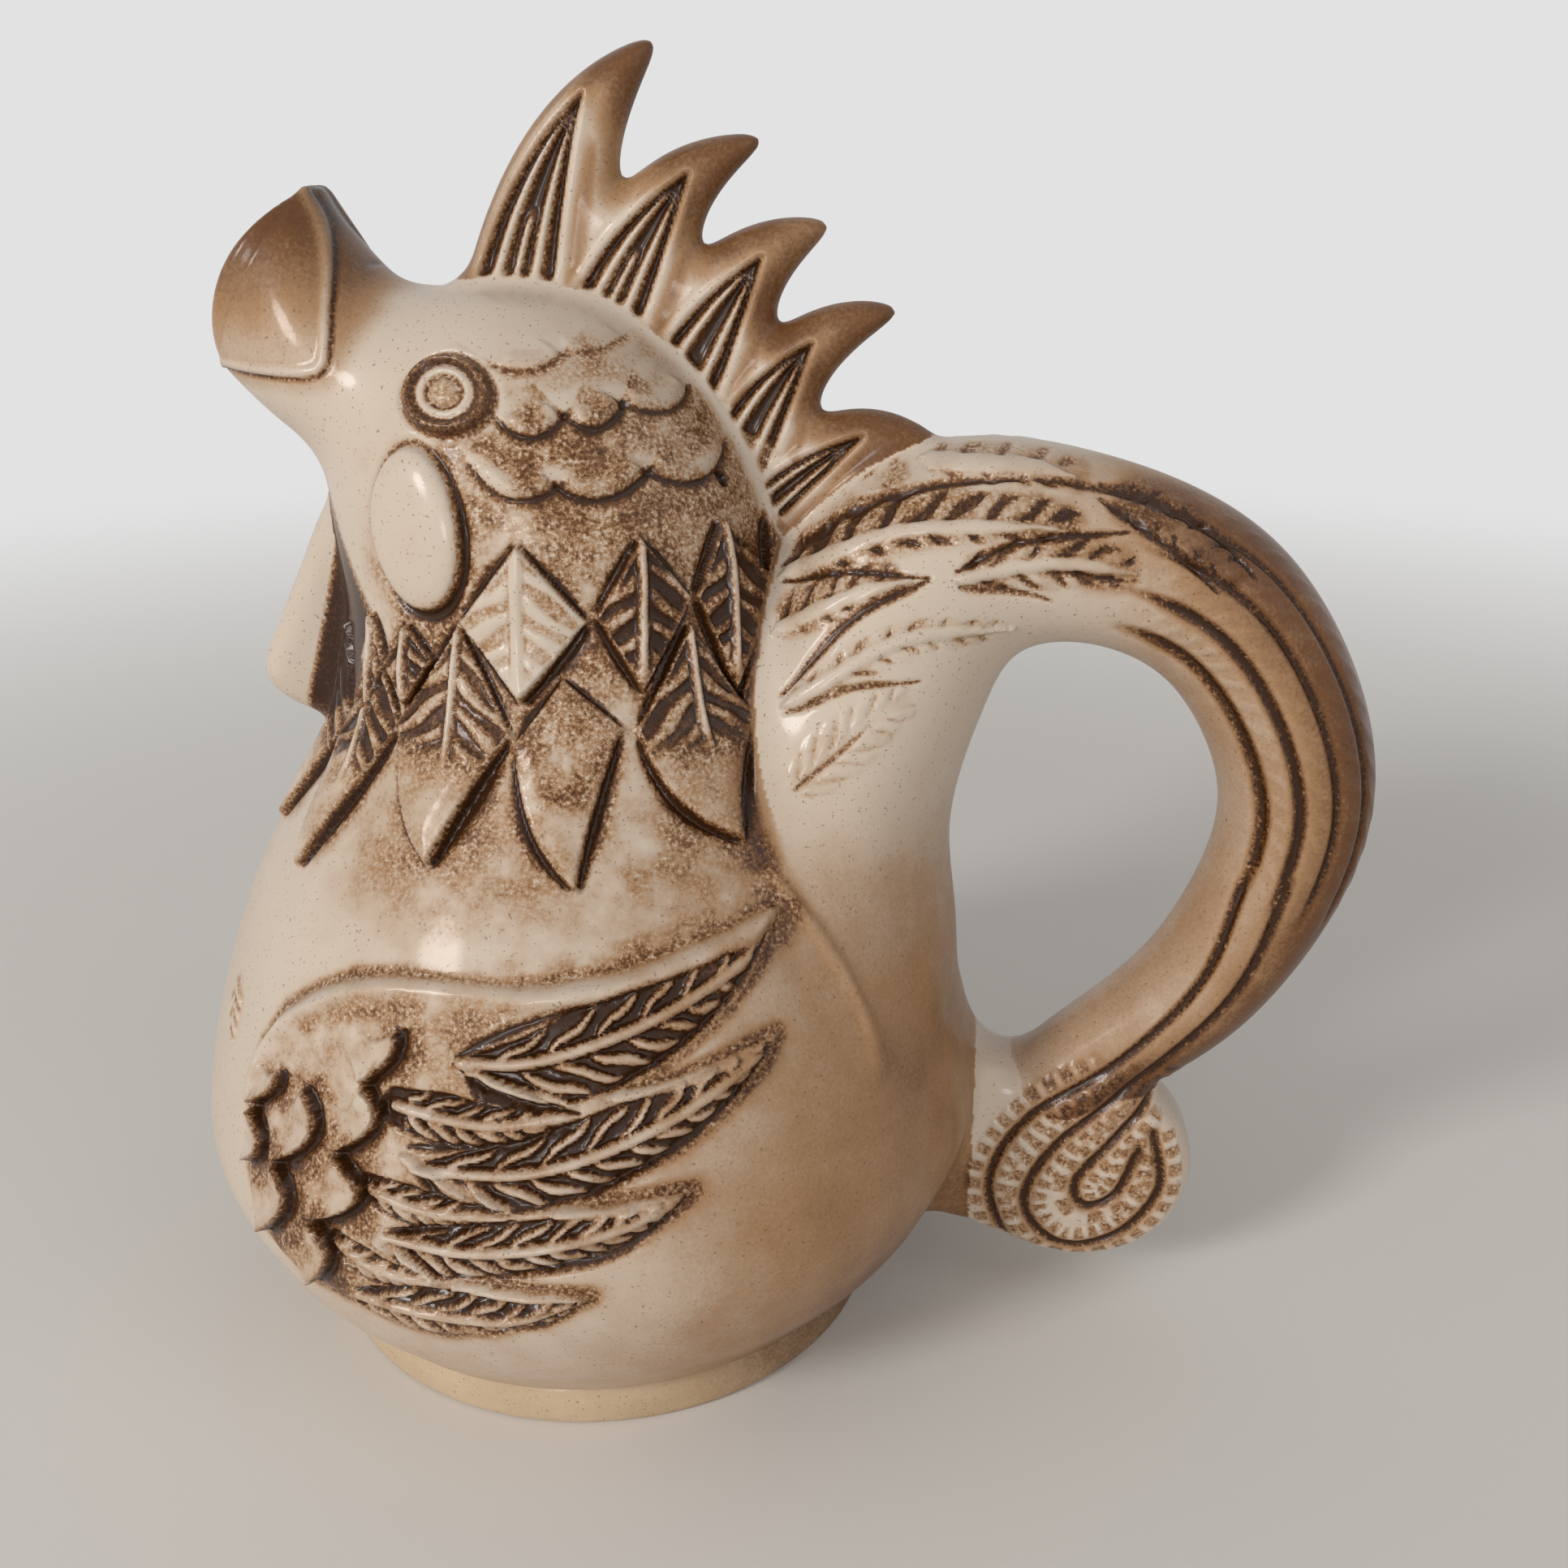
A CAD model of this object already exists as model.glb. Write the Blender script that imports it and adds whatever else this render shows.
"""A stoneware jug in the form of a rooster, dressed round its CAD frame.

The jug is one fired skin. Its forms are summed as smooth distance fields, meshed on a lattice,
given their feather relief along the normals, and cut into one piece for each CAD node.
Lengths are in millimetres from the belly's axis until the pieces are made.
"""
import math

import bpy
import numpy as np
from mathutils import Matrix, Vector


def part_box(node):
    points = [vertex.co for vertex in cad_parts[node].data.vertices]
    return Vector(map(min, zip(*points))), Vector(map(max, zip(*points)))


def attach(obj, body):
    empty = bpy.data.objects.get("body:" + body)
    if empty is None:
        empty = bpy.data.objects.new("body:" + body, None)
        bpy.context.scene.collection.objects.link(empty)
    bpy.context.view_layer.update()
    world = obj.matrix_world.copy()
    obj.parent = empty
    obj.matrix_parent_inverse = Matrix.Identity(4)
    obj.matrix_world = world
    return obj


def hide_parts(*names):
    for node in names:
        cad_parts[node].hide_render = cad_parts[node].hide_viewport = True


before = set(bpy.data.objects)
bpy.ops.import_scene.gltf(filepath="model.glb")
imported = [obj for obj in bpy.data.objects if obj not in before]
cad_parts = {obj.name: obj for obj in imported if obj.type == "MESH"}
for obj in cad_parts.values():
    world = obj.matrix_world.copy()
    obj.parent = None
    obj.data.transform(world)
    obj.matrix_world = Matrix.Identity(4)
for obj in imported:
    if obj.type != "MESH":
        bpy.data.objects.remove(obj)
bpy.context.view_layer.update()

# Lattice
CELL = 0.9
LATTICE_LOW = (-74.0, 0.0, -4.0)
LATTICE_HIGH = (140.0, 78.0, 222.0)
TABLE_CELL = 0.5
TINY = 1e-6

# Vessel: radius and height of its outline, from the seat to the crown
OUTLINE = [(52.5, 9.6), (64.5, 25), (70, 46.5), (59, 84), (43, 111), (37.4, 130),
           (35.6, 152), (28.5, 169), (16.5, 180), (0, 183.5)]
FOOT = [(0, 9), (42, 9), (42.3, 0.6), (43, 0), (49.3, 0), (50.2, 0.9), (50.6, 5),
        (49.8, 7.6), (48.2, 8.9), (50.2, 9.2)]
WALL = 4.5
LEAN = -10.0
LEAN_START = 111.0
LEAN_RISE = 72.5
NECK_NARROWING = 31.8 / 35.6
NARROW_LOW = 107.0
NARROW_HIGH = 136.0

# Beak: a spout with a deep side bulge
BEAK_ROOT = (-10.0, 160.0)
BEAK_ANGLE = math.radians(32)
BEAK_LENGTH = 45.0
BEAK_START = 8.0
BEAK_THROAT = (14.6, 19.0)
BEAK_RIM = (17.0, 12.5)
BEAK_DROP = 5.0
BEAK_BULGE = 3.8
BEAK_WALL = 3.0

# Tail: place, half-depth and half-width along its path
TAIL = [(40, 58, 25, 38), (43, 105, 22, 31), (60.3, 139, 19.6, 20), (82.5, 142.5, 15.4, 15.5),
        (107, 132, 13.8, 13.8), (122, 101, 12.6, 12.8), (110.5, 67, 11, 11.5), (84, 42.5, 9, 9.5)]
TAIL_ROOT_SHARE = 0.31
TAIL_ROUNDING = 110
CURL_CENTRE = (91.0, 28.0)
CURL_RADIUS = 19.4
CURL_HALF = 8.6
BRIDGE = [(40, 46), (60, 51), (70, 50), (80, 46), (92, 45), (96, 30), (90, 14), (72, 13.5),
          (59, 16), (46, 17), (40, 22)]
BRIDGE_HALF = 7.2

# Comb: each spike's front curve, tip, back curve and notch
COMB_START = (-17.0, 181.5)
COMB = [((-6.5, 215.0), (17.2, 219.4), (8.4, 205.0), (9.0, 196.6)),
        ((18.0, 206.4), (34.2, 205.0), (21.4, 196.0), (21.2, 187.2)),
        ((31.0, 195.2), (43.8, 192.4), (32.6, 183.0), (33.2, 175.8)),
        ((43.0, 183.2), (55.0, 179.6), (40.2, 170.5), (40.0, 162.6)),
        ((49.0, 166.6), (58.6, 160.8), (47.0, 152.5), (37.0, 146.0))]
COMB_HEEL = [(20.0, 140.0), (-12.0, 165.0)]
COMB_HALF = 4.3
COMB_ROUNDING = 14
WATTLE = [(-38, 154), (-44, 146), (-49, 136), (-53.5, 127), (-56.8, 120), (-56.6, 115.5),
          (-53, 112), (-48, 109.6), (-43.5, 106.5), (-37, 103)]
WATTLE_HEEL = [(-28, 112), (-26, 150)]
WATTLE_HALF = 4.4

# How softly each form runs into the vessel
SOFTNESS = {"tail": 9.0, "beak": 7.0, "comb": 5.0, "wattle": 4.0, "curl": 4.0, "bridge": 6.0}
RIM_SOFTNESS = 1.6
BORE_SOFTNESS = 3.0
BORE_REACH = 20.0
BEAK_SOFTNESS = 2.0
SLAB_SOFTNESS = 6.0
CURL_SOFTNESS = 7.0


def smooth_step(low, high, value):
    """Rises from 0 at low to 1 at high"""
    share = np.clip((value - low) / (high - low), 0.0, 1.0)
    return share * share * (3.0 - 2.0 * share)


def hump(value, middle, width):
    """A soft bump, 1 at the middle"""
    return np.exp(-(((value - middle) / width) ** 2))


def smooth_min(first, second, soft):
    """The lower of two fields, rounded where they meet"""
    share = np.clip(0.5 + 0.5 * (second - first) / soft, 0.0, 1.0)
    return second + (first - second) * share - soft * share * (1.0 - share)


def smooth_max(first, second, soft):
    """The higher of two fields, rounded where they meet"""
    return -smooth_min(-first, -second, soft)


def spline(points, per_span=10, power=0.0):
    """Points along a smooth curve through the given ones"""
    marks = np.array(points, float)
    marks = np.vstack([2 * marks[0] - marks[1], marks, 2 * marks[-1] - marks[-2]])
    share = np.linspace(0, 1, per_span, endpoint=False)[:, None]
    rows = []
    for before, start, end, after in zip(marks, marks[1:], marks[2:], marks[3:]):
        first = np.linalg.norm((start - before)[:2]) ** power
        span = np.linalg.norm((end - start)[:2]) ** power
        last = np.linalg.norm((after - end)[:2]) ** power
        leave = (start - before) / first - (end - before) / (first + span) + (end - start) / span
        reach = (end - start) / span - (after - start) / (span + last) + (after - end) / last
        cube = share ** 3
        square = share ** 2
        rows.append(
            (2 * cube - 3 * square + 1) * start + (cube - 2 * square + share) * leave * span
            + (3 * square - 2 * cube) * end + (cube - square) * reach * span
        )
    rows.append(marks[-2][None, :])
    return np.vstack(rows)


def bend(start, control, end, count=12):
    """A curve from start to end that leans towards control"""
    share = np.linspace(0, 1, count)[:, None]
    start, control, end = (np.array(p, float) for p in (start, control, end))
    return (1 - share) ** 2 * start + 2 * share * (1 - share) * control + share ** 2 * end


def outline_distance(u, v, corners):
    """Distance to a closed outline, negative inside it"""
    nearest = np.full(u.shape, np.inf)
    inside = np.zeros(u.shape, bool)
    for (au, av), (bu, bv) in zip(corners, np.roll(corners, -1, axis=0)):
        eu = bu - au
        ev = bv - av
        share = np.clip(((u - au) * eu + (v - av) * ev) / (eu * eu + ev * ev + 1e-12), 0, 1)
        nearest = np.minimum(nearest, np.hypot(u - au - share * eu, v - av - share * ev))
        if ev != 0:
            inside ^= ((av > v) != (bv > v)) & (u < eu * (v - av) / ev + au)
    return np.where(inside, -nearest, nearest)


def soften(values, rounds):
    """Rounds the corners of a flat field"""
    for _ in range(rounds):
        for axis in (0, 1):
            values = 0.5 * values + 0.25 * (np.roll(values, 1, axis) + np.roll(values, -1, axis))
    return values


class Table:
    """Values worked out on a flat lattice, and read between its points"""

    def __init__(self, low, high, rule):
        self.low = low
        across = np.arange(low[0], high[0], TABLE_CELL)
        up = np.arange(low[1], high[1], TABLE_CELL)
        self.values = np.array(rule(*np.meshgrid(across, up, indexing="ij")))
        if self.values.ndim == 2:
            self.values = self.values[None]

    def at(self, u, v):
        columns, rows = self.values.shape[1:]
        fu = np.clip((u - self.low[0]) / TABLE_CELL, 0, columns - 1.001)
        fv = np.clip((v - self.low[1]) / TABLE_CELL, 0, rows - 1.001)
        iu = fu.astype(int)
        iv = fv.astype(int)
        fu = fu - iu
        fv = fv - iv
        read = self.values
        near = read[:, iu, iv] * (1 - fu) + read[:, iu + 1, iv] * fu
        far = read[:, iu, iv + 1] * (1 - fu) + read[:, iu + 1, iv + 1] * fu
        found = near * (1 - fv) + far * fv
        return found[0] if len(found) == 1 else found


# The outlines as close points
PROFILE = np.vstack([np.array(FOOT, float), spline(OUTLINE)])
PROFILE_RING = np.vstack([PROFILE, (PROFILE * (-1, 1))[::-1]])
TAIL_PATH = spline(TAIL, 50, 0.5)


def comb_outline():
    """The comb's edge from its front foot over the spikes and back"""
    rows = []
    start = COMB_START
    for front, tip, back, notch in COMB:
        rows.append(bend(start, front, tip))
        rows.append(bend(tip, back, notch))
        start = notch
    rows.append(np.array(COMB_HEEL, float))
    return np.vstack(rows)


def tail_place(x, z):
    """Share of the tail's path, distance and offset from it (outwards is positive) and its half sizes"""
    path = TAIL_PATH[:, :2]
    heading = np.gradient(path, axis=0)
    heading /= np.linalg.norm(heading, axis=1)[:, None]
    nearest = np.full(x.shape, np.inf)
    place = np.zeros(x.shape, int)
    for index, (px, pz) in enumerate(path):
        away = np.hypot(x - px, z - pz)
        closer = away < nearest
        nearest = np.where(closer, away, nearest)
        place = np.where(closer, index, place)
    outward = -(x - path[place, 0]) * heading[place, 1] + (z - path[place, 1]) * heading[place, 0]
    deep, wide = TAIL_PATH[place].transpose(2, 0, 1)[2:]
    offset = np.where(outward < 0, -nearest, nearest)
    rounded = [soften(layer, TAIL_ROUNDING) for layer in (nearest, deep, wide)]
    return place / (len(path) - 1), rounded[0], offset, rounded[1], rounded[2]


SIDE_LOW = (-80.0, -10.0)
SIDE_HIGH = (150.0, 230.0)
VESSEL_TABLE = Table((-2.0, -10.0), (120.0, 230.0), lambda r, z: outline_distance(r, z, PROFILE_RING))
TAIL_TABLE = Table((10.0, 0.0), (150.0, 180.0), tail_place)
COMB_EDGE = comb_outline()
COMB_TABLE = Table(
    SIDE_LOW, SIDE_HIGH, lambda x, z: soften(outline_distance(x, z, COMB_EDGE), COMB_ROUNDING)
)
WATTLE_EDGE = np.vstack([spline(WATTLE), np.array(WATTLE_HEEL, float)])
WATTLE_TABLE = Table(SIDE_LOW, SIDE_HIGH, lambda x, z: outline_distance(x, z, WATTLE_EDGE))
BRIDGE_EDGE = np.array(BRIDGE, float)
BRIDGE_TABLE = Table(SIDE_LOW, SIDE_HIGH, lambda x, z: outline_distance(x, z, BRIDGE_EDGE))


def narrowing(level):
    """How much narrower than round the neck and head are"""
    return 1 + (NECK_NARROWING - 1) * smooth_step(NARROW_LOW, NARROW_HIGH, level)


def upright(x, y, z):
    """Radius and angle round the axis, with the lean and the narrowing taken out"""
    lean = LEAN * np.clip((z - LEAN_START) / LEAN_RISE, 0, 1) ** 1.4
    narrow = narrowing(z)
    return np.hypot(x - lean, y / narrow), np.degrees(np.arctan2(np.abs(y) / narrow, lean - x))


def vessel_field(x, y, z):
    return VESSEL_TABLE.at(upright(x, y, z)[0], z)


def beak_field(x, y, z, grow=0.0, reach=0.0):
    """The beak, or its bore where grow is negative and reach is past the rim"""
    cos_a = math.cos(BEAK_ANGLE)
    sin_a = math.sin(BEAK_ANGLE)
    dx = x - BEAK_ROOT[0]
    dz = z - BEAK_ROOT[1]
    along = -dx * cos_a + dz * sin_a
    up = dx * sin_a + dz * cos_a
    flare = np.clip((along / BEAK_LENGTH - 0.5) / 0.5, 0, 1.3) ** 2
    tall = BEAK_THROAT[0] + (BEAK_RIM[0] - BEAK_THROAT[0]) * flare + grow
    wide = BEAK_THROAT[1] + (BEAK_RIM[1] - BEAK_THROAT[1]) * np.minimum(flare, 1) + grow
    up = (up + BEAK_DROP * (1 - flare)) / tall
    side = y / wide
    size = np.hypot(up, side) + TINY
    sheath = size * (size - 1) / np.hypot(up / tall, side / wide).clip(TINY)
    bulge = BEAK_BULGE * (side / size) ** 2 * (1 - 0.35 * up / size)
    sheath = smooth_max(sheath, BEAK_START - along, BEAK_SOFTNESS)
    return smooth_max(sheath, along - BEAK_LENGTH - bulge - reach, BEAK_SOFTNESS)


def tail_field(x, y, z):
    _, away, _, deep, wide = TAIL_TABLE.at(x, z)
    size = np.hypot(away / deep, y / wide) + TINY
    return size * (size - 1) / np.hypot(away / deep ** 2, y / wide ** 2).clip(TINY)


def slab_field(flat, y, half, soft):
    """An outline in the side plane with a thickness and round edges"""
    return smooth_max(flat, np.abs(y) - half, soft)


def form_fields(x, y, z):
    """The distance to each form"""
    curl = np.hypot(x - CURL_CENTRE[0], z - CURL_CENTRE[1]) - CURL_RADIUS
    return {
        "vessel": vessel_field(x, y, z),
        "tail": tail_field(x, y, z),
        "beak": beak_field(x, y, z),
        "comb": slab_field(COMB_TABLE.at(x, z), y, COMB_HALF, SLAB_SOFTNESS),
        "wattle": slab_field(WATTLE_TABLE.at(x, z), y, WATTLE_HALF, SLAB_SOFTNESS),
        "curl": slab_field(curl, y, CURL_HALF, CURL_SOFTNESS),
        "bridge": slab_field(BRIDGE_TABLE.at(x, z), y, BRIDGE_HALF, SLAB_SOFTNESS),
    }


def jug_field(x, y, z):
    """The whole jug: its forms run together, less the hollow"""
    forms = form_fields(x, y, z)
    body = forms["vessel"]
    for name, soft in SOFTNESS.items():
        body = smooth_min(body, forms[name], soft)
    bore = beak_field(x, y, z, -BEAK_WALL, BORE_REACH)
    hollow = smooth_min(forms["vessel"] + WALL, bore, BORE_SOFTNESS)
    return smooth_max(body, -hollow, RIM_SOFTNESS), forms, hollow


def lattice():
    """The field on the whole lattice, from one half and its mirror image"""
    x = np.arange(LATTICE_LOW[0], LATTICE_HIGH[0], CELL)
    y = np.arange(0.0, LATTICE_HIGH[1], CELL)
    z = np.arange(LATTICE_LOW[2], LATTICE_HIGH[2], CELL)
    grid_x, grid_z = np.meshgrid(x, z, indexing="ij")
    slices = [jug_field(grid_x, np.full(grid_x.shape, level), grid_z)[0] for level in y]
    half = np.stack(slices, axis=1).astype(np.float32)
    low = np.array([x[0], -y[-1], z[0]])
    return np.concatenate([half[:, :0:-1], half], axis=1), low


def surface_net(values, low):
    """One point in each cell that the surface crosses, and the quads that join them"""
    inside = values < 0
    shape = np.array(values.shape) - 1
    corners = [(i, j, k) for i in (0, 1) for j in (0, 1) for k in (0, 1)]
    count = np.zeros(shape, np.int8)
    for i, j, k in corners:
        count += inside[i:shape[0] + i, j:shape[1] + j, k:shape[2] + k]
    cells = (count > 0) & (count < 8)
    place = np.argwhere(cells)
    index = np.full(shape, -1)
    index[cells] = np.arange(len(place))
    total = np.zeros((len(place), 3))
    hits = np.zeros(len(place))
    for start in corners:
        for axis in range(3):
            if start[axis]:
                continue
            end = list(start)
            end[axis] = 1
            first = values[tuple((place + start).T)]
            last = values[tuple((place + end).T)]
            cross = (first < 0) != (last < 0)
            share = np.where(cross, first / np.where(cross, first - last, 1), 0)
            point = np.array(start, float) + 0 * total
            point[:, axis] = share
            total += point * cross[:, None]
            hits += cross
    points = low + CELL * (place + total / hits[:, None])
    return points, net_quads(inside, index, shape)


def net_quads(inside, index, shape):
    """A quad round each lattice edge that the surface crosses"""
    quads = []
    for axis in range(3):
        one, two = (axis + 1) % 3, (axis + 2) % 3
        spot = np.argwhere(inside != np.roll(inside, -1, axis))
        spot = spot[(spot[:, axis] < shape[axis]) & (spot[:, one] > 0) & (spot[:, two] > 0)]
        spot = spot[(spot[:, one] < shape[one]) & (spot[:, two] < shape[two])]
        ring = []
        for back_one, back_two in ((1, 1), (0, 1), (0, 0), (1, 0)):
            cell = spot.copy()
            cell[:, one] -= back_one
            cell[:, two] -= back_two
            ring.append(index[tuple(cell.T)])
        ring = np.stack(ring, axis=1)
        flip = ~inside[tuple(spot.T)]
        ring[flip] = ring[flip][:, ::-1]
        quads.append(ring)
    return np.vstack(quads)


def normals_of(points, quads):
    """A unit normal at each point"""
    cross = np.cross(points[quads[:, 2]] - points[quads[:, 0]], points[quads[:, 3]] - points[quads[:, 1]])
    total = np.zeros_like(points)
    for axis in range(3):
        for corner in range(4):
            total[:, axis] += np.bincount(quads[:, corner], cross[:, axis], len(points))
    return total / np.linalg.norm(total, axis=1).clip(1e-9)[:, None]


def settle(points, quads, rounds):
    """Draws the points onto the surface"""
    for _ in range(rounds):
        depth = jug_field(points[:, 0], np.abs(points[:, 1]), points[:, 2])[0]
        points = points - normals_of(points, quads) * np.clip(depth, -CELL, CELL)[:, None]
    return points


def refine(points, quads, chosen):
    """Cuts each chosen quad in four"""
    fine = quads[chosen]
    edges = np.stack([fine, np.roll(fine, -1, axis=1)], axis=2).reshape(-1, 2)
    keys, where = np.unique(np.sort(edges, axis=1), axis=0, return_inverse=True)
    middles = points[keys].mean(axis=1)
    centres = points[fine].mean(axis=1)
    edge_index = len(points) + where.reshape(-1, 4)
    centre_index = len(points) + len(keys) + np.arange(len(fine))
    parts = [
        np.stack([fine[:, c], edge_index[:, c], centre_index, edge_index[:, c - 1]], axis=1)
        for c in range(4)
    ]
    return np.vstack([points, middles, centres]), np.vstack([quads[~chosen]] + parts)


# Relief on the vessel: (angle from the front in degrees, height) for each mark
WING_OUTLINE = [(47, 64), (47.6, 70), (51.6, 76.9), (58.4, 82), (64.8, 85.3), (71.7, 86.8), (89, 87.1),
                (102.8, 88.7), (116.1, 90.8), (132.5, 93.6), (129, 87.9), (121.2, 82.3), (112.9, 77.2),
                (104.5, 72.9), (111.4, 73.4), (128.8, 77), (125.7, 73.5), (115.9, 66.3), (107.2, 62.2),
                (97, 57.4), (113.6, 57.4), (106.7, 52), (93, 46.9), (85, 44.2), (100.2, 42.4),
                (93.6, 37.7), (86.6, 34.2), (80.3, 32.3), (72.8, 32.9), (66.3, 35.5), (60.5, 35),
                (52, 40.5), (48, 51)]
WING_CREST = [(47, 65), (50.2, 73.3), (59.4, 82), (70.8, 86.6), (81.6, 87.6), (93.4, 87.4), (105.4, 88.4),
              (118.2, 91), (131.8, 93.7)]
# How a vane's reach runs along its shaft, above and below it
LONG_VANE = (
    ((0, 0.12, 0.36, 0.55, 0.75, 0.9, 1), (0.05, 0.5, 1.0, 0.95, 0.66, 0.42, 0.05)),
    ((0, 0.06, 0.2, 0.5, 0.75, 0.9, 1), (0.1, 0.75, 1.0, 0.95, 0.66, 0.42, 0.05)),
)
SHORT_VANE = (
    ((0, 0.3, 0.7, 1), (0.7, 1.0, 0.6, 0.05)),
    ((0, 0.3, 0.7, 1), (0.7, 1.0, 0.6, 0.05)),
)
# Shaft, reach above and below it, vane, gap between the lower barbs
WING_FEATHERS = [
    ([(84, 77.2), (94.2, 77.8), (110.8, 82.7), (128.1, 89.2)], (5.6, 7.0), LONG_VANE, 5.2),
    ([(78.6, 61.4), (94.2, 62.4), (109.5, 67.6), (126.8, 75.9)], (6.0, 5.6), LONG_VANE, 4.8),
    ([(74.4, 50.4), (87, 50), (101.1, 52.6), (112.9, 56.7)], (4.6, 4.6), LONG_VANE, 4.0),
    ([(69.1, 38.7), (79.9, 38.3), (92.6, 39), (99.3, 41.6)], (5.0, 5.2), LONG_VANE, 3.9),
    ([(75.5, 69.8), (88.3, 68.8), (99.6, 70.7)], (3.8, 4.2), SHORT_VANE, 3.7),
    ([(72.6, 56.8), (81, 55.4), (91.7, 55.7)], (3.2, 2.8), SHORT_VANE, 3.2),
    ([(67.7, 46.9), (74, 44.6), (82.1, 44.5)], (2.3, 2.7), SHORT_VANE, 2.9),
]
# Pale ridges: free upper edges of the long feathers, then the lower edges of their roots
WING_RIDGES = [
    [(103.6, 72.5), (115, 73.6), (128.4, 76.9)], [(96.2, 56.2), (105, 56.3), (113.2, 57.5)],
    [(83.7, 43.9), (91, 43), (99.5, 42.4)], [(84.3, 76.4), (90.9, 74.2), (100.1, 71.8)],
    [(76.7, 63), (83.7, 59.8), (91.7, 56.5)], [(73.5, 49.6), (77.8, 47.5), (82.1, 44.8)],
]
# Dark cuts along the edges of the feathers
WING_CUTS = [
    [(83.3, 77.8), (90.1, 81.6), (97.6, 84.2), (105.8, 85.9)], [(103.4, 73.3), (115.7, 79.5), (131.5, 91.3)],
    [(99.3, 57.6), (114.7, 65.5), (127.8, 75.9)], [(88.5, 45.9), (103.5, 49.2), (113.2, 56.8)],
    [(72.9, 33.5), (87, 34.5), (99.3, 41.5)], [(77.2, 64.4), (91.1, 66), (99, 69)],
    [(85.2, 75.2), (91, 73), (100.6, 70.6)], [(74.9, 51), (88.6, 54.7), (92.2, 55.5)],
]
# Each scallop: where it starts, leans and ends
COVERTS = [((74.2, 80.3), (77, 77.3), (69.6, 71.4)), ((69.6, 71.4), (78, 67.8), (66.3, 60.4)),
           ((66.3, 60.4), (78.2, 55.8), (62.8, 48.6)), ((62.8, 48.6), (71.5, 46.4), (61.7, 36.6)),
           ((59.6, 68.4), (68.7, 62.7), (55.4, 54.6)), ((55.4, 54.6), (64.9, 51.2), (52, 40.8)),
           ((54.4, 68.9), (57, 66.6), (48.4, 60.6)), ((48.4, 60.6), (58.4, 57), (48.7, 51.5))]
CHEEKS = [
    ((94.6, 173), (104, 170.6), (118.8, 174.4), 0.5), ((118.8, 174.4), (130, 174), (150, 176), 0.3),
    ((94.2, 165.3), (101.5, 160.6), (112.4, 166.2), 1), ((112.4, 166.2), (119, 161.4), (130.9, 167.3), 1),
    ((130.9, 167.3), (144, 163.4), (161, 168.2), 0.8), ((85.6, 158.6), (93, 151.6), (105.9, 156.4), 0.9),
    ((105.9, 156.4), (114, 151.6), (130.3, 157.7), 1), ((130.3, 157.7), (144, 152.4), (162, 159.4), 0.8),
]
# Each neck feather: top, left corner, right corner, tip, how far its tip bends like a claw, its barbs,
# its dust, the cuts under its left and right edges, its row
HACKLES = [
    ((24, 131), (11, 115), (35, 116), (19, 96), 1, 0.8, 0.4, (0.4, 1.4), "lower"),
    ((47, 131), (33, 114), (57.6, 118.8), (41.6, 95), 1, 0.9, 0.4, (0.4, 1.3), "lower"),
    ((99.2, 128), (87.3, 118.7), (111.4, 120.7), (100.2, 99.5), 1, 0.12, 0.55, (1.0, 1.5), "lower"),
    ((75.1, 135.2), (57.5, 120), (86.9, 120), (73.1, 101.3), 1, 0.85, 0.3, (0.45, 1.7), "lower"),
    ((46, 135), (40.5, 127), (51, 127), (44.5, 119.5), 0, 0.9, 0.5, (0.4, 0.5), "middle"),
    ((59.6, 134.4), (51, 127.6), (67.2, 129.3), (58.5, 121.9), 0, 1, 0.45, (0.4, 0.6), "middle"),
    ((153, 135), (140, 121), (165, 121), (150, 106), 1, 0.9, 0.4, (1.0, 1.4), "middle"),
    ((131.5, 134.6), (114.5, 120.3), (143, 120), (132.2, 103), 1, 0.95, 0.4, (1.1, 1.2), "middle"),
    ((172, 150), (160, 139), (180, 139), (170, 127), 0, 1, 0.5, (0.6, 0.6), "upper"),
    ((147, 149.3), (134.6, 138.5), (160.8, 138.9), (141, 123.6), 0, 1, 0.5, (0.7, 0.7), "upper"),
    ((122.8, 148.3), (108.7, 137), (133.2, 138.6), (116.7, 125.1), 0, 1, 0.6, (0.9, 0.7), "upper"),
    ((93.6, 148.1), (76.2, 136), (106.7, 136.4), (88.9, 124.2), 0, 0.3, 0.06, (0.6, 1.7), "upper"),
]
HACKLE_LIFT = {"lower": 0.9, "middle": 1.2, "upper": 1.6}
BARB_GAP = 4.5
EYE = (78.1, 168.8)
EYE_RADIUS = 6.5
LOBE = (66.8, 149.2)
LOBE_HALF = (7.4, 12.4)
LOBE_TILT = math.radians(4)
VENT = (154.8, 155.0)
BREAST_LEAF = [(33, 75), (35, 70), (37, 65)]
# Edge of the brown glaze behind the wattle: height and place on the flap, height and angle on the throat
WATTLE_SHADE_X = ((111.6, 152), (-48.6, -36.8))
WATTLE_SHADE_ANGLE = ((104, 113, 120, 127, 135, 140, 148, 158), (12, 21, 35, 40, 42.5, 37, 29, 16))
GLAZE_RUN = [(133, 103), (140, 88), (144, 76), (145, 67)]
CREASE = [(168, 141), (153, 131.5), (143, 122), (137, 112), (134, 100)]

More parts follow.
